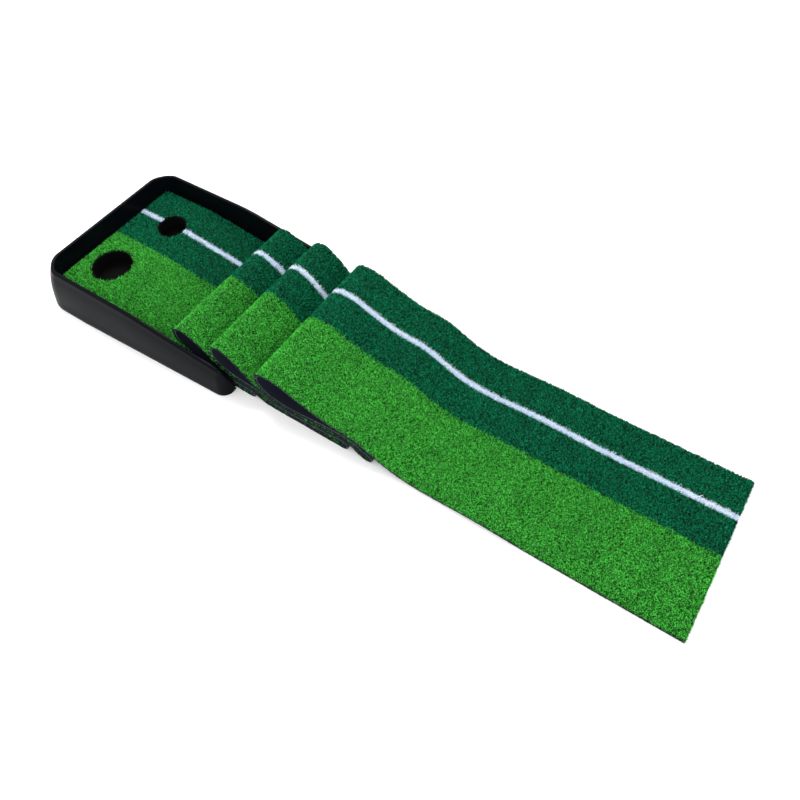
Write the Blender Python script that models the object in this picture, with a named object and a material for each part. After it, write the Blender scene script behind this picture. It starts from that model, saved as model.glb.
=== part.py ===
"""Practice putting mat: a turf strip that starts in a moulded tray with two holes, lies in loose
accordion folds in front of it, and runs out flat to a free end. Metres, +Z up, floor at z = 0.
X runs from the back of the tray to the free end, Y from the light half to the dark half."""
import math

import bmesh
import bpy
import numpy as np

# ---- driving dimensions (mm) ----
MAT_WIDTH = 300.0
BACKING = 2.4            # backing thickness
PILE = 5.8               # pile height above the backing
LINE_Y = 75.0            # centre of the white line
LINE_WIDTH = 10.0
SPLIT_Y = 0.0            # where light green meets dark green
GAP = 0.3                # clearance between neighbouring pieces

TRAY_NOSE = 458.0        # front ends of the side rims
RIM_TOP = 83.0           # height of the level part of the rim
RIM_LEVEL_TO = 235.0     # the rim is level up to here
RIM_FRONT = 56.0         # rim height where the rounded nose begins
RIM_WIDTH = 39.0         # foot width of the rim at the back, outer face to inner face
RIM_WIDTH_FRONT = 28.0   # foot width of the side rims at the front
RIM_LIP = 9.0            # width of the rim's top
RIM_LEAN_IN = 9.0        # inner face leans out by this much at the top
REAR_CORNER = 26.0       # plan radius of the tray's inner rear corners
NOSE_RADIUS = 22.0       # plan and side radius of the front noses
WALL = 3.0               # moulding thickness
BACK_CLEARANCE = 0.5     # between the strip's back edge and the rim
DECK_FRONT = 440.0       # front edge of the deck plate

HOLE_LARGE = 86.0
HOLE_LARGE_AT = (71.0, -75.0)
HOLE_SMALL = 64.0
HOLE_SMALL_AT = (95.0, 72.0)
CUP_WALL = 2.2
CUP_DEPTH = 36.0         # from the pile top to the cup floor

DECK_PILE_TOP = 50.0     # pile height above the floor on the level deck
TURF_BACK = 4.5          # back edge of the strip
FREE_END = 1300.0        # free end of the strip
FOLD_A_AT = 860.0        # where the flat run folds up, pile inside
FOLD_B_AT = 1072.5       # where it folds back, backing inside
CREASE = 15.0            # half length of each soft crease

TRAY_BACK = TURF_BACK - BACK_CLEARANCE - RIM_WIDTH   # outer face of the back rim
TURF_CORNER = REAR_CORNER - 12.0         # plan radius of the strip's back corners, inside the tray's
S = 0.001
DN = BACKING / 2.0
UP = DN + PILE
SHIFT = -(TRAY_BACK + FREE_END) / 2.0    # origin at the middle of the whole length


# ---- the strip's path: middle of the backing, seen from the side, x and z in mm ----
def arc(cx, cz, r, a0, a1, n=7):
    a = np.radians(np.linspace(a0, a1, n))
    return [(cx + r * math.cos(t), cz + r * math.sin(t)) for t in a]


def knots(text):
    return [tuple(float(v) for v in pair.split(",")) for pair in text.split()]


DECK_Z = DECK_PILE_TOP - UP
PATH = [
    # on the deck, then down the ramp
    [(TURF_BACK, DECK_Z), (60, DECK_Z), (118, DECK_Z)]
    + knots("140,42.4 170,38.6 220,31.2 300,19.5 380,8.8 425,3.8 450,2.1 472,1.5"),
    # first turn at the floor, back up the ramp
    arc(494, 9.5, 8.0, -90, 90) + knots("465,19.2 430,22.2 400,26.3 375,32.5 355,41.5 340,53 332,67"),
    # first standing loop, forward and down
    knots("334,81 345,89.5 358,89 373,82 389,72.5 402,59 413,45.5 426,35 446,28 470,23.6 494,20.6 505,16.8 "
          "514,10 525,4.4 540,1.9 560,1.5 620,1.5 675,1.5"),
    # second turn, the narrow middle loop and the layer that drops in front of it
    arc(698, 12.7, 11.2, -90, 90)
    + knots("665,19.8 620,16.5 580,16 558,16.6 540,20.5 528,27 515,33 496,36.4 472,39.8 450,45 434,54 424,67 "
            "422,82 430,94.5 444,98 459,91.5 478,76 495,57.5 511,41.5 528,31 545,22.7 566,19.8 610,20 655,23 690,27 "
            "708,26.2 720,20.5 731,11.5 741,5"),
    # third turn, back over the stack
    arc(749, 14, 10.3, -75, 75, 6)
    + knots("740,28.5 726,38 708,43.2 680,44 645,41 610,36.5 582,34.6 560,36.5 542,42.5 530,53 523.5,67"),
    # last standing loop and the long slope down to the floor
    knots("526,81.5 537,89.5 553,91 578,86.5 602,76 626,66.5 650,58 672,52.5 694,50 714,47.5 734,41.5 754,32 775,21 "
          "797,12.3 820,6.5"),
    # flat run to the free end
    knots("845,3.6 880,3.2 925,5 960,5.8 1000,4.2 1045,1.9 1085,1.5 1150,1.5") + [(FREE_END, 1.5)],
]


def spline(P, step=1.0):
    """Centripetal Catmull-Rom curve through the knots, and the parameter of each knot in it."""
    P = np.array(P, float)
    Q = np.vstack([2 * P[0] - P[1], P, 2 * P[-1] - P[-2]])
    out, at = [], []
    for i in range(1, len(Q) - 2):
        p0, p1, p2, p3 = Q[i - 1:i + 3]
        t0 = 0.0
        t1 = t0 + math.sqrt(np.linalg.norm(p1 - p0))
        t2 = t1 + math.sqrt(np.linalg.norm(p2 - p1))
        t3 = t2 + math.sqrt(np.linalg.norm(p3 - p2))
        n = max(2, int(np.linalg.norm(p2 - p1) / step))
        t = np.linspace(t1, t2, n, endpoint=False)[:, None]
        a1 = (t1 - t) / (t1 - t0) * p0 + (t - t0) / (t1 - t0) * p1
        a2 = (t2 - t) / (t2 - t1) * p1 + (t - t1) / (t2 - t1) * p2
        a3 = (t3 - t) / (t3 - t2) * p2 + (t - t2) / (t3 - t2) * p3
        b1 = (t2 - t) / (t2 - t0) * a1 + (t - t0) / (t2 - t0) * a2
        b2 = (t3 - t) / (t3 - t1) * a2 + (t - t1) / (t3 - t1) * a3
        at.append(sum(len(o) for o in out))
        out.append((t2 - t) / (t2 - t1) * b1 + (t - t1) / (t2 - t1) * b2)
    at.append(sum(len(o) for o in out))
    out.append(P[-1:])
    return np.vstack(out), at


KNOTS = [k for part in PATH for k in part]
CURVE, KNOT_AT = spline(KNOTS)
TAN = np.gradient(CURVE, axis=0)
TAN /= np.linalg.norm(TAN, axis=1)[:, None]
NOR = np.stack([-TAN[:, 1], TAN[:, 0]], 1)      # points to the pile side
LEN = np.r_[0.0, np.cumsum(np.linalg.norm(np.diff(CURVE, axis=0), axis=1))]
TURN = np.unwrap(np.arctan2(TAN[:, 1], TAN[:, 0]))


def at_x(x):
    """Path length where the last, flat stretch passes x."""
    last = KNOT_AT[len(KNOTS) - len(PATH[-1]) - 1]
    return float(np.interp(x, CURVE[last:, 0], LEN[last:]))


def stations(s0, s1):
    """Path positions from s0 to s1: a new one each 6 degrees of turn (11 in tight turns) or each 24 mm."""
    out = [s0]
    i = int(np.searchsorted(LEN, s0))
    s, a = s0, np.interp(s0, LEN, TURN)
    while i < len(LEN) and LEN[i] < s1 - 1.0:
        bend = abs(TURN[i] - a)
        run = LEN[i] - s
        limit = math.radians(11.0 if run < 4.5 else 6.0)
        if (bend > limit and run > 1.2) or run > 24.0:
            s, a = LEN[i], TURN[i]
            out.append(s)
        i += 1
    if s1 - out[-1] < 1.0 and len(out) > 1:
        out.pop()
    out.append(s1)
    return np.array(out)


def frame_at(s):
    p = np.stack([np.interp(s, LEN, CURVE[:, 0]), np.interp(s, LEN, CURVE[:, 1])], 1)
    a = np.interp(s, LEN, TURN)
    return p, np.stack([-np.sin(a), np.cos(a)], 1)


# ---- mesh helpers ----
def new_object(name, verts, faces, material):
    mesh = bpy.data.meshes.new(name)
    v = np.array(verts, float)
    v[:, 0] += SHIFT
    mesh.from_pydata((v * S).tolist(), [], [list(f) for f in faces])
    bm = bmesh.new()
    bm.from_mesh(mesh)
    bmesh.ops.recalc_face_normals(bm, faces=bm.faces)
    bm.to_mesh(mesh)
    bm.free()
    obj = bpy.data.objects.new(name, mesh)
    bpy.context.scene.collection.objects.link(obj)
    if material is not None:
        mesh.materials.append(material)
    return obj


def lofted(rings):
    """Vertices and faces of a closed solid through equal rings of points, capped at both ends."""
    n = len(rings[0])
    verts = [p for ring in rings for p in ring]
    faces = []
    for i in range(len(rings) - 1):
        for j in range(n):
            k = (j + 1) % n
            faces.append((i * n + j, i * n + k, (i + 1) * n + k, (i + 1) * n + j))
    faces.append(tuple(range(n))[::-1])
    faces.append(tuple((len(rings) - 1) * n + j for j in range(n)))
    return verts, faces


def corner_inset(x, y_edge):
    """How far the strip's edge is cut back near its back corners, which follow the tray's inner corners."""
    r = TURF_CORNER
    d = TURF_BACK + r - x
    if d <= 0 or abs(y_edge) < MAT_WIDTH / 2 - 1.0:
        return 0.0
    return (r - math.sqrt(max(r * r - min(d, r) ** 2, 0.0))) * (1 if y_edge > 0 else -1)


def band(s, low, high, y0, y1):
    """One lengthwise band of the strip: offsets low..high from the path, y0..y1 across."""
    p, n = frame_at(s)
    rings = []
    for (x, z), (nx, nz) in zip(p, n):
        a = y0 - corner_inset(x if z > 30 else 999.0, y0)
        b = y1 - corner_inset(x if z > 30 else 999.0, y1)
        lo, hi = (x + nx * low, z + nz * low), (x + nx * high, z + nz * high)
        rings.append([(lo[0], a, lo[1]), (lo[0], b, lo[1]), (hi[0], b, hi[1]), (hi[0], a, hi[1])])
    return lofted(rings)


def cut(obj, cutters):
    for c in cutters:
        c.hide_render = True
        c.display_type = "WIRE"
        m = obj.modifiers.new("cut", "BOOLEAN")
        m.operation = "DIFFERENCE"
        m.solver = "EXACT"
        m.object = c
    dg = bpy.context.evaluated_depsgraph_get()
    mesh = bpy.data.meshes.new_from_object(obj.evaluated_get(dg))
    obj.modifiers.clear()
    old = obj.data
    obj.data = mesh
    bpy.data.meshes.remove(old)


def drop(cutters):
    for c in cutters:
        m = c.data
        bpy.data.objects.remove(c)
        bpy.data.meshes.remove(m)


def cylinder(centre, radius, z0, z1, segments=48):
    ring = [(centre[0] + radius * math.cos(t), centre[1] + radius * math.sin(t))
            for t in np.linspace(0, 2 * math.pi, segments, endpoint=False)]
    return lofted([[(x, y, z0) for x, y in ring], [(x, y, z1) for x, y in ring]])


def material(name, color, roughness):
    m = bpy.data.materials.new(name)
    m.use_nodes = True
    b = m.node_tree.nodes["Principled BSDF"]
    b.inputs["Base Color"].default_value = (*color, 1.0)
    b.inputs["Roughness"].default_value = roughness
    return m


# ---- tray ----
def rim_height(x):
    """Level at the back, falls straight to the front, then rounds over to the floor."""
    front = TRAY_NOSE - NOSE_RADIUS
    if x <= RIM_LEVEL_TO:
        return RIM_TOP
    h = RIM_TOP + (RIM_FRONT - RIM_TOP) * (min(x, front) - RIM_LEVEL_TO) / (front - RIM_LEVEL_TO)
    if x > front:
        h *= math.sqrt(max(1.0 - ((x - front) / NOSE_RADIUS) ** 2, 0.0))
    return h


INNER_Y = MAT_WIDTH / 2 + 3.5
INNER_X = TURF_BACK - BACK_CLEARANCE


def rim_stations():
    """Plan stations of the rim from the near nose round the back to the far nose: position on the inner
    face, outward direction and foot width."""
    front = TRAY_NOSE - NOSE_RADIUS
    out = []
    for a in (86.0, 78.0, 68.0, 55.0, 40.0, 22.0):
        t = math.radians(a)
        narrow = min(NOSE_RADIUS, RIM_WIDTH_FRONT - 6.0) * (1 - math.cos(t))
        out.append(((front + NOSE_RADIUS * math.sin(t), -INNER_Y), (0.0, -1.0), RIM_WIDTH_FRONT - narrow))
    for x in (front, 395.0, 340.0, 285.0, RIM_LEVEL_TO, 160.0, 95.0):
        share = min((front - x) / (front - 95.0), 1.0)
        out.append(((x, -INNER_Y), (0.0, -1.0), RIM_WIDTH_FRONT + (RIM_WIDTH - RIM_WIDTH_FRONT) * share))
    cx, cy = INNER_X + REAR_CORNER, -INNER_Y + REAR_CORNER
    for a in np.linspace(270, 180, 9):
        t = math.radians(a)
        d = (math.cos(t), math.sin(t))
        out.append(((cx + REAR_CORNER * d[0], cy + REAR_CORNER * d[1]), d, RIM_WIDTH))
    for p, d, w in reversed(out[:]):
        out.append(((p[0], -p[1]), (d[0], -d[1]), w))
    return out


def rim_ring(p, d, w, h, inset=0.0, drop_to=0.0):
    """Section of the rim: leaning faces, rounded shoulders. inset shrinks it for the hollow inside."""
    share = min(h / RIM_TOP, 1.0)
    lean = RIM_LEAN_IN * share * min(w / RIM_WIDTH_FRONT, 1.0)
    lip = min(RIM_LIP, 0.45 * w)
    a0, a1 = inset, lean + inset
    b1, b0 = max(lean + lip - inset, a1 + 1.0), w - inset
    top = h - inset
    r = max(min(3.5, (b1 - a1) / 3.0, top / 3.0), 0.2)
    pts = [(a0, drop_to), (a1, top - r), (a1 + 0.3 * r, top - 0.3 * r), (a1 + r, top),
           (b1 - r, top), (b1 - 0.3 * r, top - 0.3 * r), (b1 + 0.1 * r, top - r), (b0, drop_to)]
    return [(p[0] + d[0] * u, p[1] + d[1] * u, z) for u, z in pts]


def build_rim(mat):
    st = rim_stations()
    rings = [rim_ring(p, d, w, rim_height(p[0])) for p, d, w in st]
    rim = new_object("tray_rim", *lofted(rings), mat)
    front = TRAY_NOSE - NOSE_RADIUS
    inner = [rim_ring(p, d, w, rim_height(p[0]), WALL, -2.0) for p, d, w in st if p[0] <= front - 1.0]
    hollow = new_object("cut_rim", *lofted(inner), None)
    cut(rim, [hollow])
    drop([hollow])
    return rim


def deck_profile():
    """Side outline of the deck plate: its top follows the strip's underside."""
    end = float(np.interp(DECK_FRONT, CURVE[:KNOT_AT[10], 0], LEN[:KNOT_AT[10]]))
    s = stations(0.0, end)
    p, n = frame_at(s)
    top = p - n * (DN + GAP)
    low = p - n * (DN + GAP + WALL)
    low[:, 1] = np.maximum(low[:, 1], GAP)
    low[:, 0] = top[:, 0]
    return top, low


def build_deck(mat):
    top, low = deck_profile()
    half = MAT_WIDTH / 2 + 3.5 - GAP
    rings = []
    back = TRAY_BACK + RIM_WIDTH + GAP
    r = REAR_CORNER
    xs = list(back + r * (1 - np.cos(np.radians([0, 12, 24, 38, 52, 68, 82]))))
    xs += [x for x in top[:, 0] if x > back + r + 1.0]
    for x in xs:
        y = half - (r - math.sqrt(max(r * r - max(back + r - x, 0.0) ** 2, 0.0)))
        zt, zb = np.interp(x, top[:, 0], top[:, 1]), np.interp(x, low[:, 0], low[:, 1])
        rings.append([(x, -y, zb), (x, y, zb), (x, y, zt), (x, -y, zt)])
    deck = new_object("tray_deck", *lofted(rings), mat)
    cutters = [new_object("cut_l", *cylinder(HOLE_LARGE_AT, HOLE_LARGE / 2, 20, 80), None),
               new_object("cut_s", *cylinder(HOLE_SMALL_AT, HOLE_SMALL / 2, 20, 80), None)]
    cut(deck, cutters)
    drop(cutters)
    return deck


def build_cup(name, centre, diameter, mat):
    """Open cup that hangs in a deck hole: its rim ends just above the backing, its floor is flat."""
    outer, inner = diameter / 2 - GAP, diameter / 2 - GAP - CUP_WALL
    floor = DECK_PILE_TOP - CUP_DEPTH
    top = DECK_Z + DN
    profile = [(0.0, floor - WALL), (outer - 2.0, floor - WALL), (outer, floor - WALL + 2.0), (outer, top),
               (inner, top), (inner, floor + 1.5), (inner - 1.5, floor), (0.0, floor)]
    n = 48
    verts = [(centre[0], centre[1], profile[0][1]), (centre[0], centre[1], profile[-1][1])]
    faces = []
    for r, z in profile[1:-1]:
        for k in range(n):
            t = 2 * math.pi * k / n
            verts.append((centre[0] + r * math.cos(t), centre[1] + r * math.sin(t), z))
    rings = len(profile) - 2
    for k in range(n):
        m = (k + 1) % n
        faces.append((0, 2 + m, 2 + k))
        for i in range(rings - 1):
            faces.append((2 + i * n + k, 2 + i * n + m, 2 + (i + 1) * n + m, 2 + (i + 1) * n + k))
        faces.append((1, 2 + (rings - 1) * n + k, 2 + (rings - 1) * n + m))
    return new_object(name, verts, faces, mat)


# ---- strip ----
def sections():
    """Names and path ranges of the strip's lengthwise sections."""
    names = ["layer_1", "layer_2", "layer_3", "layer_4", "layer_5", "layer_6"]
    starts, count = [], 0
    for part in PATH[:-1]:
        starts.append(LEN[KNOT_AT[count]])
        count += len(part)
    a0, a1 = at_x(FOLD_A_AT - CREASE), at_x(FOLD_A_AT + CREASE)
    b0, b1 = at_x(FOLD_B_AT - CREASE), at_x(FOLD_B_AT + CREASE)
    ends = starts[1:] + [a0]
    out = [(n, s, e) for n, s, e in zip(names, starts, ends)]
    out += [("crease_a", a0, a1), ("run", a1, b0), ("crease_b", b0, b1), ("run_end", b1, LEN[-1])]
    return out


def build_strip(mats):
    half = MAT_WIDTH / 2
    l0, l1 = LINE_Y - LINE_WIDTH / 2, LINE_Y + LINE_WIDTH / 2
    for k, (name, s0, s1) in enumerate(sections()):
        a = s0 + (GAP / 2 if k else 0.0)
        s = stations(a, s1 - GAP / 2 if name != "run_end" else s1)
        if k == 0:
            eased = TURF_CORNER * (1 - np.cos(np.radians([0.0, 18.0, 36.0, 54.0, 72.0, 90.0])))
            s = np.r_[a + eased, s[s > TURF_CORNER + 6.0]]
        base = DN + GAP
        made = [new_object(f"{name}_backing", *band(s, -DN, DN, -half, half), mats["backing"]),
                new_object(f"{name}_light", *band(s, base, UP, -half, SPLIT_Y - GAP / 2), mats["light"]),
                new_object(f"{name}_dark", *band(s, base, UP, SPLIT_Y + GAP / 2, l0 - GAP), mats["dark"]),
                new_object(f"{name}_edge", *band(s, base, UP, l1 + GAP, half), mats["dark"])]
        if k:
            new_object(f"{name}_line", *band(s, base, UP, l0, l1), mats["line"])
            continue
        # the small hole crosses the whole line, so the first section's line is two pieces
        x, r = HOLE_SMALL_AT[0], HOLE_SMALL / 2 - 6.0
        made += [new_object("layer_1_line_back", *band(stations(s[0], x - r - TURF_BACK), base, UP, l0, l1), mats["line"]),
                 new_object("layer_1_line", *band(stations(x + r - TURF_BACK, s[-1]), base, UP, l0, l1), mats["line"])]
        big = cylinder(HOLE_LARGE_AT, HOLE_LARGE / 2, 20, 80)
        small = cylinder(HOLE_SMALL_AT, HOLE_SMALL / 2, 20, 80)
        for obj, holes in zip(made, ([big, small], [big], [small], [small], [small], [small])):
            cutters = [new_object(f"cut_{j}", *h, None) for j, h in enumerate(holes)]
            cut(obj, cutters)
            drop(cutters)


def main():
    for obj in list(bpy.data.objects):
        bpy.data.objects.remove(obj)
    black = material("tray_plastic", (0.012, 0.012, 0.014), 0.2)
    build_rim(black)
    build_deck(black)
    liner = material("cup_plastic", (0.02, 0.02, 0.022), 0.45)
    build_cup("cup_large", HOLE_LARGE_AT, HOLE_LARGE, liner)
    build_cup("cup_small", HOLE_SMALL_AT, HOLE_SMALL, liner)
    build_strip({"backing": material("backing", (0.03, 0.035, 0.06), 0.9),
                 "light": material("turf_light", (0.09, 0.33, 0.06), 0.95),
                 "dark": material("turf_dark", (0.01, 0.1, 0.035), 0.95),
                 "line": material("line_white", (0.75, 0.76, 0.74), 0.9)})


main()
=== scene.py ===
import math

import bmesh
import bpy
import numpy as np
from mathutils import Matrix, Vector


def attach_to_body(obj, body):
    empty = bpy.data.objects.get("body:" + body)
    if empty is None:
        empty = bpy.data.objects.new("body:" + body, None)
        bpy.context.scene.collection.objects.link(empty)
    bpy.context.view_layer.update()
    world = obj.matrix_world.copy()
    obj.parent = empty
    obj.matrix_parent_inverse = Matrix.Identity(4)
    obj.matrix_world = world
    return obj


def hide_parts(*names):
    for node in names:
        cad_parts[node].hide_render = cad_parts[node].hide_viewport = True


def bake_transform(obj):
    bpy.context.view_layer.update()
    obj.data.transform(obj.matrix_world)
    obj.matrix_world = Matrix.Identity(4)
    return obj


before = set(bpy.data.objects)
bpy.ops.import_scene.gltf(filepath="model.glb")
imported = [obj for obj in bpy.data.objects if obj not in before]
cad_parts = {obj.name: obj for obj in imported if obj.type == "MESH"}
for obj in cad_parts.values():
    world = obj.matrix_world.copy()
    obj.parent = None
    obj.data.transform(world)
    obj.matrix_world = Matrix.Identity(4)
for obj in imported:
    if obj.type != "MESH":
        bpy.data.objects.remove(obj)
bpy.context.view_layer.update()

# ---- sizes: the strip and the tray are laid out in mm, with x = 0 near the tray's back wall and z = 0 on
# ---- the floor; MM and SHIFT turn them into metres in the frame
MM = 0.001
SHIFT = -0.6325
EDGE = 150.0                    # half the strip's width
DN = 1.2                        # half the backing's thickness
PILE_BED = 3.6                  # top of the dense lower pile; heights are from the middle of the backing
TUFT_FOOT = 2.2                 # height of the tufts' feet
TUFT_TIPS = (4.4, 7.2)          # heights of their tips
TUFT_TIGHT = 5.2                # highest tip where a tight turn presses the pile together
TIGHT = 0.05                    # bend of a tight turn, radians per mm: a radius under 20 mm
SHADED = 0.34                   # share of the tufts that stay in shade
SHADE_PITCH = 2.8                # distance between the blades of painted shade, drawn as dark roots, along a cut edge
LINE0, LINE1 = 70.0, 80.0       # sides of the white line
LARGE = (71.0, -75.0, 43.0)     # holes in the deck: x, y, radius
SMALL = (95.0, 72.0, 32.0)
HOLE_Z = (30.0, 80.0)           # heights between which the holes cut the strip that lies on the deck
TURF_CORNER = 14.0              # radius of the strip's back corners
FOLD_A, FOLD_B, CREASE = 860.0, 1072.5, 15.0    # middles of the two creases, and half a crease's length


# ---- the strip's path, middle of the backing seen from the side ----
def arc(cx, cz, r, a0, a1, n=7):
    """n points of a circle of radius r about (cx, cz), from angle a0 to a1 in degrees."""
    a = np.radians(np.linspace(a0, a1, n))
    return list(zip(cx + r * np.cos(a), cz + r * np.sin(a)))


def knots(text):
    """Places that the path goes through, written as x,z pairs."""
    return [tuple(float(v) for v in pair.split(",")) for pair in text.split()]


KNOTS = (
    # over the deck, down the ramp and the first turn at its foot
    knots("4.5,43 60,43 118,43 140,42.4 170,38.6 220,31.2 300,19.5 380,8.8 425,3.8 450,2.1 472,1.5")
    + arc(494, 9.5, 8.0, -90, 90)
    # back up the ramp, over the first standing loop, along the floor and the second turn
    + knots("465,19.2 430,22.2 400,26.3 375,32.5 355,41.5 340,53 332,67 334,81 345,89.5 358,89 373,82 "
            "389,72.5 402,59 413,45.5 426,35 446,28 470,23.6 494,20.6 505,16.8 514,10 525,4.4 540,1.9 "
            "560,1.5 620,1.5 675,1.5")
    + arc(698, 12.7, 11.2, -90, 90)
    # back over that layer, over the middle loop, forward again and the third turn
    + knots("665,19.8 620,16.5 580,16 558,16.6 540,20.5 528,27 515,33 496,36.4 472,39.8 450,45 434,54 "
            "424,67 422,82 430,94.5 444,98 459,91.5 478,76 495,57.5 511,41.5 528,31 545,22.7 566,19.8 "
            "610,20 655,23 690,27 708,26.2 720,20.5 731,11.5 741,5")
    + arc(749, 14, 10.3, -75, 75, 6)
    # back once more, over the last loop, down the slope and the flat run to the free end
    + knots("740,28.5 726,38 708,43.2 680,44 645,41 610,36.5 582,34.6 560,36.5 542,42.5 530,53 523.5,67 "
            "526,81.5 537,89.5 553,91 578,86.5 602,76 626,66.5 650,58 672,52.5 694,50 714,47.5 734,41.5 "
            "754,32 775,21 797,12.3 820,6.5 845,3.6 880,3.2 925,5 960,5.8 1000,4.2 1045,1.9 1085,1.5 "
            "1150,1.5 1300,1.5"))


def spline(points, step=1.0):
    """Centripetal Catmull-Rom curve: between each two knots, three rounds of blending the four nearest
    knots, with knot times that grow by the square root of the distance between knots."""
    P = np.array(points, float)
    Q = np.vstack([2 * P[0] - P[1], P, 2 * P[-1] - P[-2]])
    out = []
    for p0, p1, p2, p3 in zip(Q[:-3], Q[1:-2], Q[2:-1], Q[3:]):
        t0 = 0.0
        t1 = t0 + math.sqrt(np.linalg.norm(p1 - p0))
        t2 = t1 + math.sqrt(np.linalg.norm(p2 - p1))
        t3 = t2 + math.sqrt(np.linalg.norm(p3 - p2))
        count = max(2, int(np.linalg.norm(p2 - p1) / step))
        t = np.linspace(t1, t2, count, endpoint=False)[:, None]
        a1 = (t1 - t) / (t1 - t0) * p0 + (t - t0) / (t1 - t0) * p1
        a2 = (t2 - t) / (t2 - t1) * p1 + (t - t1) / (t2 - t1) * p2
        a3 = (t3 - t) / (t3 - t2) * p2 + (t - t2) / (t3 - t2) * p3
        b1 = (t2 - t) / (t2 - t0) * a1 + (t - t0) / (t2 - t0) * a2
        b2 = (t3 - t) / (t3 - t1) * a2 + (t - t1) / (t3 - t1) * a3
        out.append((t2 - t) / (t2 - t1) * b1 + (t - t1) / (t2 - t1) * b2)
    return np.vstack(out + [P[-1:]])


CURVE = spline(KNOTS)
TAN = np.gradient(CURVE, axis=0)
TURN = np.unwrap(np.arctan2(TAN[:, 1], TAN[:, 0]))          # direction of the path, in radians
LEN = np.r_[0.0, np.cumsum(np.linalg.norm(np.diff(CURVE, axis=0), axis=1))]
BEND = np.gradient(TURN, LEN)                               # radians per mm, positive with the pile inside
END = float(LEN[-1])
TAIL = int(np.argmax((CURVE[:, 0] > 800) & (LEN > 2000)))   # first point of the flat last stretch
LATE = 2 * len(LEN) // 3                                    # a point of the path between the last two loops
CREST = float(LEN[LATE + int(np.argmax(CURVE[LATE:, 1]))])  # path length at the top of the last loop


def at_x(x):
    """Path length at which the flat last stretch passes x."""
    return float(np.interp(x, CURVE[TAIL:, 0], LEN[TAIL:]))


A0, A1 = at_x(FOLD_A - CREASE), at_x(FOLD_A + CREASE)
B0, B1 = at_x(FOLD_B - CREASE), at_x(FOLD_B + CREASE)


def on_path(s, off):
    """Point of the side view at path length s, moved off mm along the pile side of the path. Past the free
    end the path goes straight on, and before the back edge straight back."""
    a = np.interp(s, LEN, TURN)
    past = s - np.clip(s, 0.0, END)
    x = np.interp(s, LEN, CURVE[:, 0]) + past - np.sin(a) * off
    return x, np.interp(s, LEN, CURVE[:, 1]) + np.cos(a) * off


def place(s, y, off):
    """Frame position of strip points: path length s, place across y and height off, all in mm."""
    x, z = on_path(s, off)
    return np.stack([x * MM + SHIFT, y * MM + 0 * x, z * MM], -1)


def stations(s0, s1, turn=4.0, longest=12.0):
    """Path lengths from s0 to s1, one more for each few degrees of turn and each few mm of length."""
    fine = np.linspace(s0, s1, 4000)
    a = np.interp(fine, LEN, TURN)
    load = np.r_[0, np.cumsum(np.abs(np.diff(a)) / math.radians(turn) + np.diff(fine) / longest)]
    return np.interp(np.linspace(0, load[-1], int(load[-1]) + 2), load, fine)


# ---- meshes ----
def mesh_object(name, verts, faces, material, smooth=True):
    """An object at the origin, with its place in its mesh."""
    mesh = bpy.data.meshes.new(name)
    mesh.from_pydata(np.asarray(verts).tolist(), [], faces)
    mesh.validate()
    mesh.polygons.foreach_set("use_smooth", [smooth] * len(mesh.polygons))
    obj = bpy.data.objects.new(name, mesh)
    bpy.context.scene.collection.objects.link(obj)
    if material:
        mesh.materials.append(material)
    return obj


def tube(name, P, material):
    """A closed tube through a grid of points (stations, ring, 3): quads from each ring to the next and one
    face at each end. The end faces are shaded flat, so that they don't darken the sides next to them."""
    n, m = P.shape[:2]
    i = np.arange(n - 1)[:, None] * m
    j = np.arange(m)[None]
    k = (j + 1) % m
    faces = np.stack([i + j, i + k, i + m + k, i + m + j], -1).reshape(-1, 4).tolist()
    faces += [list(range(m))[::-1], [(n - 1) * m + q for q in range(m)]]
    obj = mesh_object(name, P.reshape(-1, 3), faces, material)
    for face in list(obj.data.polygons)[-2:]:
        face.use_smooth = False
    bm = bmesh.new()
    bm.from_mesh(obj.data)
    bmesh.ops.recalc_face_normals(bm, faces=bm.faces)
    bm.to_mesh(obj.data)
    bm.free()
    return obj


# ---- materials; noise scales are patches per metre ----
def linear(hex6):
    """sRGB hex to linear RGBA: c / 12.92 when dark, else ((c + 0.055) / 1.055) to the power 2.4."""
    c = [int(hex6[i:i + 2], 16) / 255 for i in (0, 2, 4)]
    return tuple(v / 12.92 if v <= 0.04045 else ((v + 0.055) / 1.055) ** 2.4 for v in c) + (1.0,)


def node(tree, kind, settings=(), **links):
    """Adds a node, sets its properties and sockets, and links sockets to other nodes' outputs. A socket is
    named by its name, or by its number after an underscore."""
    n = tree.nodes.new(kind)
    for key, value in dict(settings).items():
        if isinstance(key, str) and hasattr(n, key):
            setattr(n, key, value)
        else:
            n.inputs[key].default_value = value
    for key, out in links.items():
        tree.links.new(out, n.inputs[int(key[1:]) if key[1:].isdigit() else key.replace("_", " ")])
    return n


def surface(name, **values):
    """A new material whose shader has these socket values; returned with its node tree and its shader."""
    m = bpy.data.materials.new(name)
    m.use_nodes = True
    shader = m.node_tree.nodes["Principled BSDF"]
    for key, value in values.items():
        shader.inputs[key.replace("_", " ")].default_value = value
    return m, m.node_tree, shader


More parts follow.
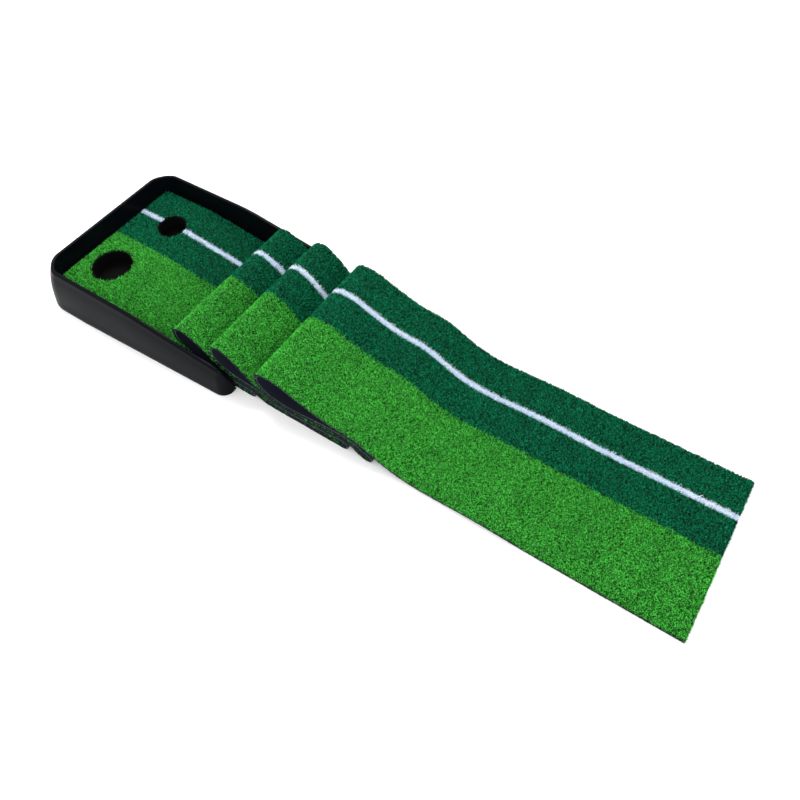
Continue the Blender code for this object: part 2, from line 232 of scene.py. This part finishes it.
def yarn(name, root, low, high):
    """Curled polypropylene yarn, cut short: it looks matt and fluffy, darker down at the roots by painted
    shade, and speckled because each tuft has its own tone. The root colour is painted shade: the pile
    attribute takes it to the tip's colour, and the dense lower pile has no such attribute and keeps the root
    colour, as painted shade under the tufts."""
    m, t, shader = surface(name, Roughness=0.75, IOR=1.49, Specular_IOR_Level=0.08)
    pos = node(t, "ShaderNodeTexCoord").outputs["Object"]
    # tip colour from low to high, in tufts about 3 mm apart
    tuft = node(t, "ShaderNodeTexNoise", {"Scale": 330.0, "Detail": 2.0}, Vector=pos)
    tuft_share = node(t, "ShaderNodeMapRange", {1: 0.35, 2: 0.65}, _0=tuft.outputs["Fac"])
    tip = node(t, "ShaderNodeMix", {"data_type": "RGBA", 6: linear(low), 7: linear(high)},
               _0=tuft_share.outputs[0])
    # painted sheen: patches about 60 mm across where the nap lies another way, painted up to a tenth brighter
    # and warmer
    nap = node(t, "ShaderNodeTexNoise", {"Scale": 16.0, "Detail": 1.0}, Vector=pos)
    nap_share = node(t, "ShaderNodeMapRange", {1: 0.4, 2: 0.6}, _0=nap.outputs["Fac"])
    nap_sheen = node(t, "ShaderNodeMix", {"data_type": "RGBA", "blend_type": "MULTIPLY", 7: (1.12, 1.1, 1.05, 1)},
                _0=nap_share.outputs[0], _6=tip.outputs[2])
    # painted shade: the pile attribute mixes in the dark root colour towards the tufts' feet and on the
    # shaded tufts
    pile = node(t, "ShaderNodeAttribute", {"attribute_name": "pile"})
    deep = node(t, "ShaderNodeMix", {"data_type": "RGBA", 6: linear(root)},
                _0=pile.outputs["Fac"], _7=nap_sheen.outputs[2])
    t.links.new(deep.outputs[2], shader.inputs["Base Color"])
    return m


def rubber():
    """Foamed latex with a skin: dark navy and matt, with a fine grain about 1 mm across."""
    m, t, shader = surface("foamed latex backing", Roughness=0.8, IOR=1.5, Specular_IOR_Level=0.12)
    pos = node(t, "ShaderNodeTexCoord").outputs["Object"]
    grain = node(t, "ShaderNodeTexNoise", {"Scale": 900.0, "Detail": 2.0}, Vector=pos)
    mix = node(t, "ShaderNodeMix", {"data_type": "RGBA", 6: linear("0b0e16"), 7: linear("161b29")},
               _0=grain.outputs["Fac"])
    t.links.new(mix.outputs[2], shader.inputs["Base Color"])
    return m


def moulded():
    """Injection-moulded ABS, coloured black right through: near black, with a thin gloss that draws soft
    light lines along its rounded lip. Its skin is very slightly wavy, in waves about 4 mm across."""
    m, t, shader = surface("moulded black ABS", Base_Color=linear("05070b"), Roughness=0.4, IOR=1.53,
                           Specular_IOR_Level=0.02, Coat_Weight=0.08, Coat_Roughness=0.12)
    pos = node(t, "ShaderNodeTexCoord").outputs["Object"]
    skin = node(t, "ShaderNodeTexNoise", {"Scale": 250.0, "Detail": 2.0}, Vector=pos)
    bump = node(t, "ShaderNodeBump", {"Strength": 0.06, "Distance": 0.0005}, Height=skin.outputs["Fac"])
    t.links.new(bump.outputs[0], shader.inputs["Normal"])
    return m


# yarn dyed in the mass: saturated, one green yellowish and bright, the other bluish and deep
LIGHT_YARN = yarn("light green polypropylene yarn", "0e300c", "40cc3c", "72ff6c")
DARK_YARN = yarn("dark green polypropylene yarn", "01130d", "02623f", "14b880")
# undyed yarn: white, and pale blue where a strand is in shade
WHITE_YARN = yarn("white polypropylene yarn", "bccfe9", "f8fbff", "ffffff")
BACKING = rubber()
# plain-woven polyester: a thin, matt grey line at the cut edge
SCRIM = surface("woven scrim", Base_Color=linear("70767f"), Roughness=0.9, IOR=1.5)[0]
ABS = moulded()
# textured polypropylene: black and without gloss, and painted a little darker than the tray as painted shade,
# so that the wells look deep
WELL = surface("black polypropylene well, painted shade", Base_Color=linear("020203"), Roughness=0.9, IOR=1.5,
               Specular_IOR_Level=0.1)[0]


# ---- strip ----
def corner(s, y):
    """Pulls points near the strip's back corners in, so that each corner is a quarter circle."""
    r = TURF_CORNER
    d = np.clip(r - s, 0, r)
    limit = EDGE - (r - np.sqrt(np.maximum(r * r - d * d, 0)))
    return np.clip(y, -limit, limit)


def swept(name, s0, s1, low, high, y0, y1, material, ease, columns):
    """A band of the strip: its cross section, a rectangle from y0 to y1 and low to high with corners eased
    by ease, carried along the path from s0 to s1 and closed at both ends."""
    s = stations(s0, s1)
    if s0 == 0.0:
        quarter = TURF_CORNER * (1 - np.cos(np.linspace(0, math.pi / 2, 10)))
        s = np.unique(np.r_[quarter, s[s > TURF_CORNER]])
    ys = np.linspace(y0 + ease, y1 - ease, columns + 1)
    under = [(y0, low + ease)] + [(y, low) for y in ys] + [(y1, low + ease)]
    over = [(y1, high - ease)] + [(y, high) for y in ys[::-1]] + [(y0, high - ease)]
    ring = np.array(under + over)
    P = place(s[:, None], ring[None, :, 0], ring[None, :, 1])
    P[..., 1] = corner(s[:, None] + 0 * ring[None, :, 0], P[..., 1] / MM) * MM
    return tube(name, P, material)


def in_hole(x, y, z, margin):
    """True for points on the deck that are nearer to a hole's middle than its radius plus margin."""
    hit = np.zeros(x.shape, bool)
    for cx, cy, r in (LARGE, SMALL):
        hit |= ((x - cx) ** 2 + (y - cy) ** 2 < (r + margin) ** 2) & (z > HOLE_Z[0])
    return hit


def density(s):
    """Share of the tufts that are drawn: all of them on the deck and ramp, on the loops and past the top of
    the last loop, and three in ten where the pile faces down or lies between the layers."""
    x, z = on_path(s, 0.0)
    faces_up = np.cos(np.interp(s, LEN, TURN)) > -0.25
    between = (z < 40) & (x > 345) & (x < 745)
    return np.where((s > CREST) | (s < 380) | (faces_up & ~between), 1.0, 0.3)


def tufts(name, s0, s1, y0, y1, material, seed, per_mm2, ragged, reach):
    """Yarn ends as leaning triangles: roots scattered evenly over the band, straying across by about ragged
    mm, feet 1.1 to 2.2 mm wide, tips 2 to 5 mm above them and 2 mm to reach to one side. In a tight turn the
    tips are lower and lean less. They are drawn coarser than the real strands, which are under 1 mm wide.
    The pile attribute carries painted shade: it is dark at the root and differs from tuft to tuft, and a
    third of the tufts are painted in shade."""
    rng = np.random.default_rng(seed)
    count = int((s1 - s0) * (y1 - y0) * per_mm2)
    s = rng.uniform(s0, s1, count)
    s = s[rng.uniform(0, 1, len(s)) < density(s)]
    n = len(s)
    y = rng.uniform(y0, y1, n) + rng.normal(0, ragged, n)
    y = corner(s, np.clip(y, 0.7 - EDGE, EDGE - 0.7))
    x, z = on_path(s, 3.0)
    keep = ~in_hole(x, y, z, 0.3)
    s, y = s[keep], y[keep]
    n = len(s)
    turn = rng.uniform(0, 2 * math.pi, n)
    w = 2.2 * rng.uniform(0.5, 1.0, n) / 2
    lean = rng.uniform(2.0, reach, n)
    to = rng.uniform(0, 2 * math.pi, n)
    high = rng.uniform(*TUFT_TIPS, n)
    tight = np.interp(s, LEN, BEND) > TIGHT
    high = np.where(tight, np.minimum(high, TUFT_TIGHT), high)
    lean = np.where(tight, lean * 0.3, lean)
    foot = np.full(n, TUFT_FOOT)
    a = place(s + w * np.cos(turn), y + w * np.sin(turn), foot)
    b = place(s - w * np.cos(turn), y - w * np.sin(turn), foot)
    tip_s = np.clip(s + lean * np.cos(to), 0.5, END + 2.0)
    tip_y = np.clip(y + lean * np.sin(to), -EDGE - 0.3, EDGE + 0.3)
    V = np.stack([a, b, place(tip_s, tip_y, high)], 1).reshape(-1, 3)
    mesh = bpy.data.meshes.new(name)
    mesh.vertices.add(len(V))
    mesh.vertices.foreach_set("co", V.ravel())
    mesh.loops.add(len(V))
    mesh.loops.foreach_set("vertex_index", np.arange(len(V)))
    mesh.polygons.add(n)
    mesh.polygons.foreach_set("loop_start", np.arange(0, 3 * n, 3))
    mesh.update()
    mesh.validate()
    # painted shade: each tuft's tone, a third of it at the feet; the shaded third of the tufts stay near the
    # dark root colour
    pile = mesh.attributes.new("pile", "FLOAT", "POINT")
    shaded = rng.uniform(0, 1, n) < SHADED
    tone = np.where(shaded, rng.uniform(0.0, 0.3, n), rng.uniform(0.8, 1.0, n))
    pile.data.foreach_set("value", np.stack([0.35 * tone, 0.35 * tone, tone], 1).ravel())
    obj = bpy.data.objects.new(name, mesh)
    bpy.context.scene.collection.objects.link(obj)
    mesh.materials.append(material)
    return obj


def teeth(name, s0, s1, material, seed):
    """Painted shade along both cut edges, drawn as dark tuft roots in the backing's colour: upright blades
    about 2.8 mm apart, half as wide at the top as at the foot, each leaning a little along the edge. On the
    light side they are 4.6 to 6 mm high as far as the last loop, where the layers press on them, and 4 to 7.2
    mm from there on; on the dark side they stay lower. They are broader as far as the last loop."""
    rng = np.random.default_rng(seed)
    n = 2 * int((s1 - s0) / SHADE_PITCH)
    s = np.sort(rng.uniform(s0 + 1.5, s1 - 1.5, n))
    side = np.where(np.arange(n) % 2, 1.0, -1.0)
    light_side = np.where(s < CREST, rng.uniform(4.6, 6.0, n), rng.uniform(4.0, 7.2, n))
    high = DN + np.where(side < 0, light_side, rng.uniform(2.8, 4.4, n))
    y = side * (EDGE + 0.5 + rng.uniform(0.0, 0.7, n))
    y = np.where(s < TURF_CORNER, corner(s, y), y)
    w = np.where(s < CREST, 1.5, 0.7) * rng.uniform(0.9, 1.9, n)
    low = np.full(n, DN - 0.4)
    top = s + rng.normal(0, 0.7, n)
    V = np.stack([place(s - w, y, low), place(s + w, y, low),
                  place(top + w / 2, y, high), place(top - w / 2, y, high)], 1)
    return mesh_object(name, V.reshape(-1, 3), np.arange(4 * n).reshape(-1, 4).tolist(), material, False)


def bore(obj):
    """Cuts the deck's two round holes through a piece of the strip and keeps the result as its mesh."""
    cutters = []
    a = np.linspace(0, 2 * math.pi, 96, endpoint=False)
    for cx, cy, r in (LARGE, SMALL):
        ring = np.stack([(cx + r * np.cos(a)) * MM + SHIFT, (cy + r * np.sin(a)) * MM], -1)
        cutter = tube("cutter", np.stack([np.c_[ring, np.full(len(a), z * MM)] for z in HOLE_Z]), None)
        cutter.hide_render = True
        cutter.display_type = "WIRE"
        cut = obj.modifiers.new("cut", "BOOLEAN")
        cut.operation, cut.solver, cut.object = "DIFFERENCE", "EXACT", cutter
        cutters.append(cutter)
    depsgraph = bpy.context.evaluated_depsgraph_get()
    old, obj.data = obj.data, bpy.data.meshes.new_from_object(obj.evaluated_get(depsgraph))
    obj.modifiers.clear()
    bpy.data.meshes.remove(old)
    for cutter in cutters:
        bpy.data.objects.remove(cutter)


def attach(obj, body):
    """Rides a piece on a body. A piece of one of the two creases only has its transform baked into its mesh.
    """
    if body == "crease_a":
        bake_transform(obj)
    elif body == "crease_b":
        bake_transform(obj)
    else:
        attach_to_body(obj, body)


# sections of the strip: path lengths, and how the names of the CAD pieces they replace begin
SECTIONS = {"stack": (0.0, A0, "layer"), "crease_a": (A0, A1, "crease_a"), "run": (A1, B0, "run"),
            "crease_b": (B0, B1, "crease_b"), "end": (B1, END, "run_end")}
LAYERS = [f"layer_{i}" for i in range(1, 7)]
# bands of pile: sides, yarn, slot, tufts per square mm, raggedness and reach
BANDS = {"light": (-EDGE, 0.0, LIGHT_YARN, "turf_light", 1.1, 0.9, 5.5),
         "dark": (0.0, LINE0, DARK_YARN, "turf_dark", 1.1, 0.9, 5.5),
         "edge": (LINE1, EDGE, DARK_YARN, "turf_dark", 1.1, 0.9, 5.5),
         "line": (LINE0, LINE1, WHITE_YARN, "line_white", 1.6, 1.3, 3.8)}
LONGEST = 700.0     # longest stretch of strip in one piece of tufts, so that none passes 200,000 triangles

for index, (body, (s0, s1, stem)) in enumerate(SECTIONS.items()):
    names = LAYERS if body == "stack" else [stem]
    # the backing's plies: latex below, woven scrim 0.2 mm proud at the cut edges, latex coat above
    back = swept(f"{body}_latex_backing", s0, s1, -DN, -0.05, -EDGE, EDGE, BACKING, 0.25, 4)
    scrim = swept(f"{body}_scrim", s0, s1, 0.0, 0.4, -EDGE - 0.2, EDGE + 0.2, SCRIM, 0.1, 4)
    coat = swept(f"{body}_latex_coat", s0, s1, 0.55, DN - 0.15, -EDGE, EDGE, BACKING, 0.15, 4)
    # painted shade: dark blades in the backing's colour along both cut edges
    fringe = teeth(f"{body}_root_edge", s0, s1, BACKING, 900 + index)
    if body == "stack":
        for piece in (back, scrim, coat):
            bore(piece)
    for piece in (scrim, coat, fringe):
        attach(piece, body)
    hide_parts(*[f"{n}_backing" for n in names])
    attach(back, body)
    for kind, (y0, y1, mat, slot, per_mm2, ragged, reach) in BANDS.items():
        # painted shade: the dense lower pile has no pile attribute, so it takes the yarn's dark root colour
        bed = swept(f"{body}_{kind}_bed", s0, s1, DN - 0.1, PILE_BED, max(y0, 0.6 - EDGE),
                    min(y1, EDGE - 0.6), mat, 0.3, 3)
        if body == "stack":
            bore(bed)
        extra = ["layer_1_line_back"] if (kind == "line" and body == "stack") else []
        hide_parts(*[f"{n}_{kind}" for n in names], *extra)
        attach(bed, body)
        cuts = np.linspace(s0, s1, max(1, math.ceil((s1 - s0) / LONGEST)) + 1)
        for i, (c0, c1) in enumerate(zip(cuts[:-1], cuts[1:])):
            seed = 100 * index + 10 * i + len(kind) + ord(kind[0])
            pile = tufts(f"{body}_{kind}_tufts_{i + 1}", c0, c1, y0, y1, mat, seed, per_mm2, ragged, reach)
            attach(pile, body)

# ---- tray ----
NOSE_END, NOSE = 458.0, 22.0            # front ends of the side rims, and the radius that rounds them
INNER_X, INNER_Y = 4.0, 153.5           # inner foot lines of the rim at the back and at the sides
REAR = 26.0                             # radius of the inner rear corners
RIM_TOP, RIM_FRONT = 83.0, 56.0         # rim height at the back, and where the noses begin
LEVEL_TO, LEVEL_EASE = 205.0, 60.0      # the rim is level up to here, then eases into its fall
FOOT_BACK, FOOT_FRONT = 39.0, 28.0      # foot widths of the rim
FOOT_FULL = 95.0                        # behind this x the foot has its full width
RIM_LEAN, RIM_LIP = 9.0, 9.0            # how far the inner face leans back, and the width of the lip
RIM_SWELL, RIM_WALL = 3.5, 3.0          # most swell of the outer face, and wall thickness
FRONT = NOSE_END - NOSE                 # x where the noses begin


def rim_height(x):
    """Rim height: RIM_TOP as far as LEVEL_TO, then eased by a parabola into a straight fall to RIM_FRONT,
    then a quarter ellipse to the floor."""
    slope = (RIM_FRONT - RIM_TOP) / (FRONT - LEVEL_TO - LEVEL_EASE / 2)
    u = np.clip((x - LEVEL_TO) / LEVEL_EASE, 0, 1)
    straight = np.maximum(np.minimum(x, FRONT) - (LEVEL_TO + LEVEL_EASE), 0.0)
    h = RIM_TOP + slope * (LEVEL_EASE / 2 * u * u + straight)
    t = np.clip((x - FRONT) / NOSE, 0, 0.9999)
    return h * np.sqrt(1 - t * t)


def rim_plan():
    """The rim's inner foot line from one nose past the back to the other, as rows of x, y, outward
    direction, foot width, and how far the lip is drawn in. The foot widens evenly from front to back, and
    near each nose it narrows along a quarter circle. The lip turns the rear corners on a wider radius than
    the foot, so it is drawn in by up to 2.5 mm there."""
    t = np.radians(np.linspace(87, 0, 22))
    side_x = np.linspace(FRONT - 8, INNER_X + REAR, 50)
    x = np.r_[FRONT + NOSE * np.sin(t), side_x]
    widening = np.minimum((FRONT - side_x) / (FRONT - FOOT_FULL), 1.0)
    w = np.r_[FOOT_FRONT - NOSE * (1 - np.cos(t)), FOOT_FRONT + (FOOT_BACK - FOOT_FRONT) * widening]
    side = np.stack([x, -INNER_Y + 0 * x, 0 * x, -1 + 0 * x, w, 0 * x], -1)
    a = np.radians(np.linspace(270, 180, 30)[1:])
    bend = np.stack([INNER_X + REAR + REAR * np.cos(a), -INNER_Y + REAR + REAR * np.sin(a), np.cos(a),
                     np.sin(a), FOOT_BACK + 0 * a, 2.5 * np.sin(2 * a) ** 2], -1)
    half = np.vstack([side, bend])
    other = half[::-1] * np.array([1, -1, 1, -1, 1, 1])
    y = np.linspace(half[-1, 1], other[0, 1], 14)[1:-1]
    rear = np.stack([INNER_X + 0 * y, y, -1 + 0 * y, 0 * y, FOOT_BACK + 0 * y, 0 * y], -1)
    return np.vstack([half, rear, other])


def rim():
    """The rim as one closed surface: a section like an upturned U carried along the plan line. Its inner
    face leans back, its lip is narrow and rounded, and its outer face swells by a sine of the height on the
    way out to the foot. Everything shrinks with the height where the rim drops at the noses."""
    px, py, dx, dy, w, draw = rim_plan().T
    h = rim_height(px)
    share = np.minimum(h / RIM_TOP, 1.0)
    lean = RIM_LEAN * share * np.minimum(w / FOOT_FRONT, 1.0)
    out = lean + np.minimum(RIM_LIP, 0.45 * w)
    r_in, r_out = np.minimum(2.6, h / 4.0), np.minimum(6.0, h / 3.2)
    e = np.radians(np.linspace(0, 90, 6))[:, None]
    v = np.linspace(0, 1, 12)[:, None]
    # inner face up and inner shoulder
    in_u, in_z = lean * v, (h - r_in) * v
    is_u, is_z = lean + r_in * (1 - np.cos(e)), h - r_in + r_in * np.sin(e)
    # outer shoulder and outer face down
    os_u, os_z = out - r_out * (1 - np.sin(e)), h - r_out + r_out * np.cos(e)
    of_u = out + (w - out) * v + RIM_SWELL * share * np.sin(np.pi * v ** 0.8)
    of_u = np.minimum(of_u, w + 0.6)
    of_z = (h - r_out) * (1 - v)
    # the hollow inside, four points round
    wall = np.minimum(RIM_WALL, 0.16 * w) * np.clip(h / 12.0, 0.2, 1)
    lift = np.maximum(h - wall * 1.4, 0.05)
    hi_u = np.stack([w - wall, out - wall * 0.6, lean + wall * 1.1, wall])
    hi_z = np.stack([0 * h, lift, lift, 0 * h])
    U = np.vstack([in_u, is_u[1:], os_u, of_u[1:], hi_u])
    Z = np.vstack([in_z, is_z[1:], os_z, of_z[1:], hi_z])
    U = U - draw * np.clip(Z / h, 0, 1) ** 1.5
    P = np.stack([(px + dx * U) * MM + SHIFT, (py + dy * U) * MM, Z * MM], -1).transpose(1, 0, 2)
    return tube("tray_rim_moulding", P, ABS)


rim_obj = rim()
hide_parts("tray_rim")
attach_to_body(rim_obj, "stack")
for name, mat in (("tray_deck", ABS), ("cup_large", WELL), ("cup_small", WELL)):
    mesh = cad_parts[name].data
    mesh.materials.clear()
    mesh.materials.append(mat)

# ---- stage, in metres ----
# matt white paper, which lights the sides of the mat from below
PAPER = surface("white paper floor", Base_Color=linear("ffffff"), Roughness=0.9, IOR=1.5)[0]
floor = mesh_object("floor", [(-6, -6, 0), (6, -6, 0), (6, 6, 0), (-6, 6, 0)], [(0, 1, 2, 3)], PAPER, False)
world = bpy.data.worlds.new("studio")
world.use_nodes = True
sky = world.node_tree.nodes["Background"].inputs
sky["Color"].default_value = (1, 1, 1, 1)
sky["Strength"].default_value = 1.15
bpy.context.scene.world = world


def lamp(name, stands, size, power):
    """A square soft light of this size and power, turned to the middle of the mat."""
    data = bpy.data.lights.new(name, "AREA")
    data.size, data.energy = size, power
    obj = bpy.data.objects.new(name, data)
    obj.location = stands
    obj.rotation_euler = (Vector((0, 0, 0)) - Vector(stands)).to_track_quat("-Z", "Y").to_euler()
    bpy.context.scene.collection.objects.link(obj)


def camera(stands, azimuth, elevation, roll, lens):
    """Camera from azimuth, elevation and roll in degrees: its forward direction and a level right and up
    are built from the first two, and roll turns right and up about forward."""
    az, el, roll = math.radians(azimuth), math.radians(elevation), math.radians(roll)
    forward = np.array([-math.sin(az) * math.cos(el), math.cos(az) * math.cos(el), -math.sin(el)])
    level = np.array([math.cos(az), math.sin(az), 0.0])
    upright = np.cross(level, forward)
    right = math.cos(roll) * level + math.sin(roll) * upright
    up = -math.sin(roll) * level + math.cos(roll) * upright
    data = bpy.data.cameras.new("camera")
    data.lens, data.sensor_width = lens, 36.0
    data.clip_start = 0.05
    obj = bpy.data.objects.new("camera", data)
    matrix = Matrix.Identity(4)
    for i, axis in enumerate((right, up, -forward, stands)):
        for j in range(3):
            matrix[j][i] = axis[j]
    obj.matrix_world = matrix
    bpy.context.scene.collection.objects.link(obj)
    bpy.context.scene.camera = obj


lamp("key", (-1.2, 1.2, 2.6), 1.6, 80)
lamp("fill", (1.8, -1.6, 2.0), 2.0, 25)
camera((1.155 + SHIFT, -0.5764, 1.031), azimuth=37.43, elevation=55.59, roll=-4.505, lens=31.5)
bpy.context.scene.view_settings.view_transform = "Standard"
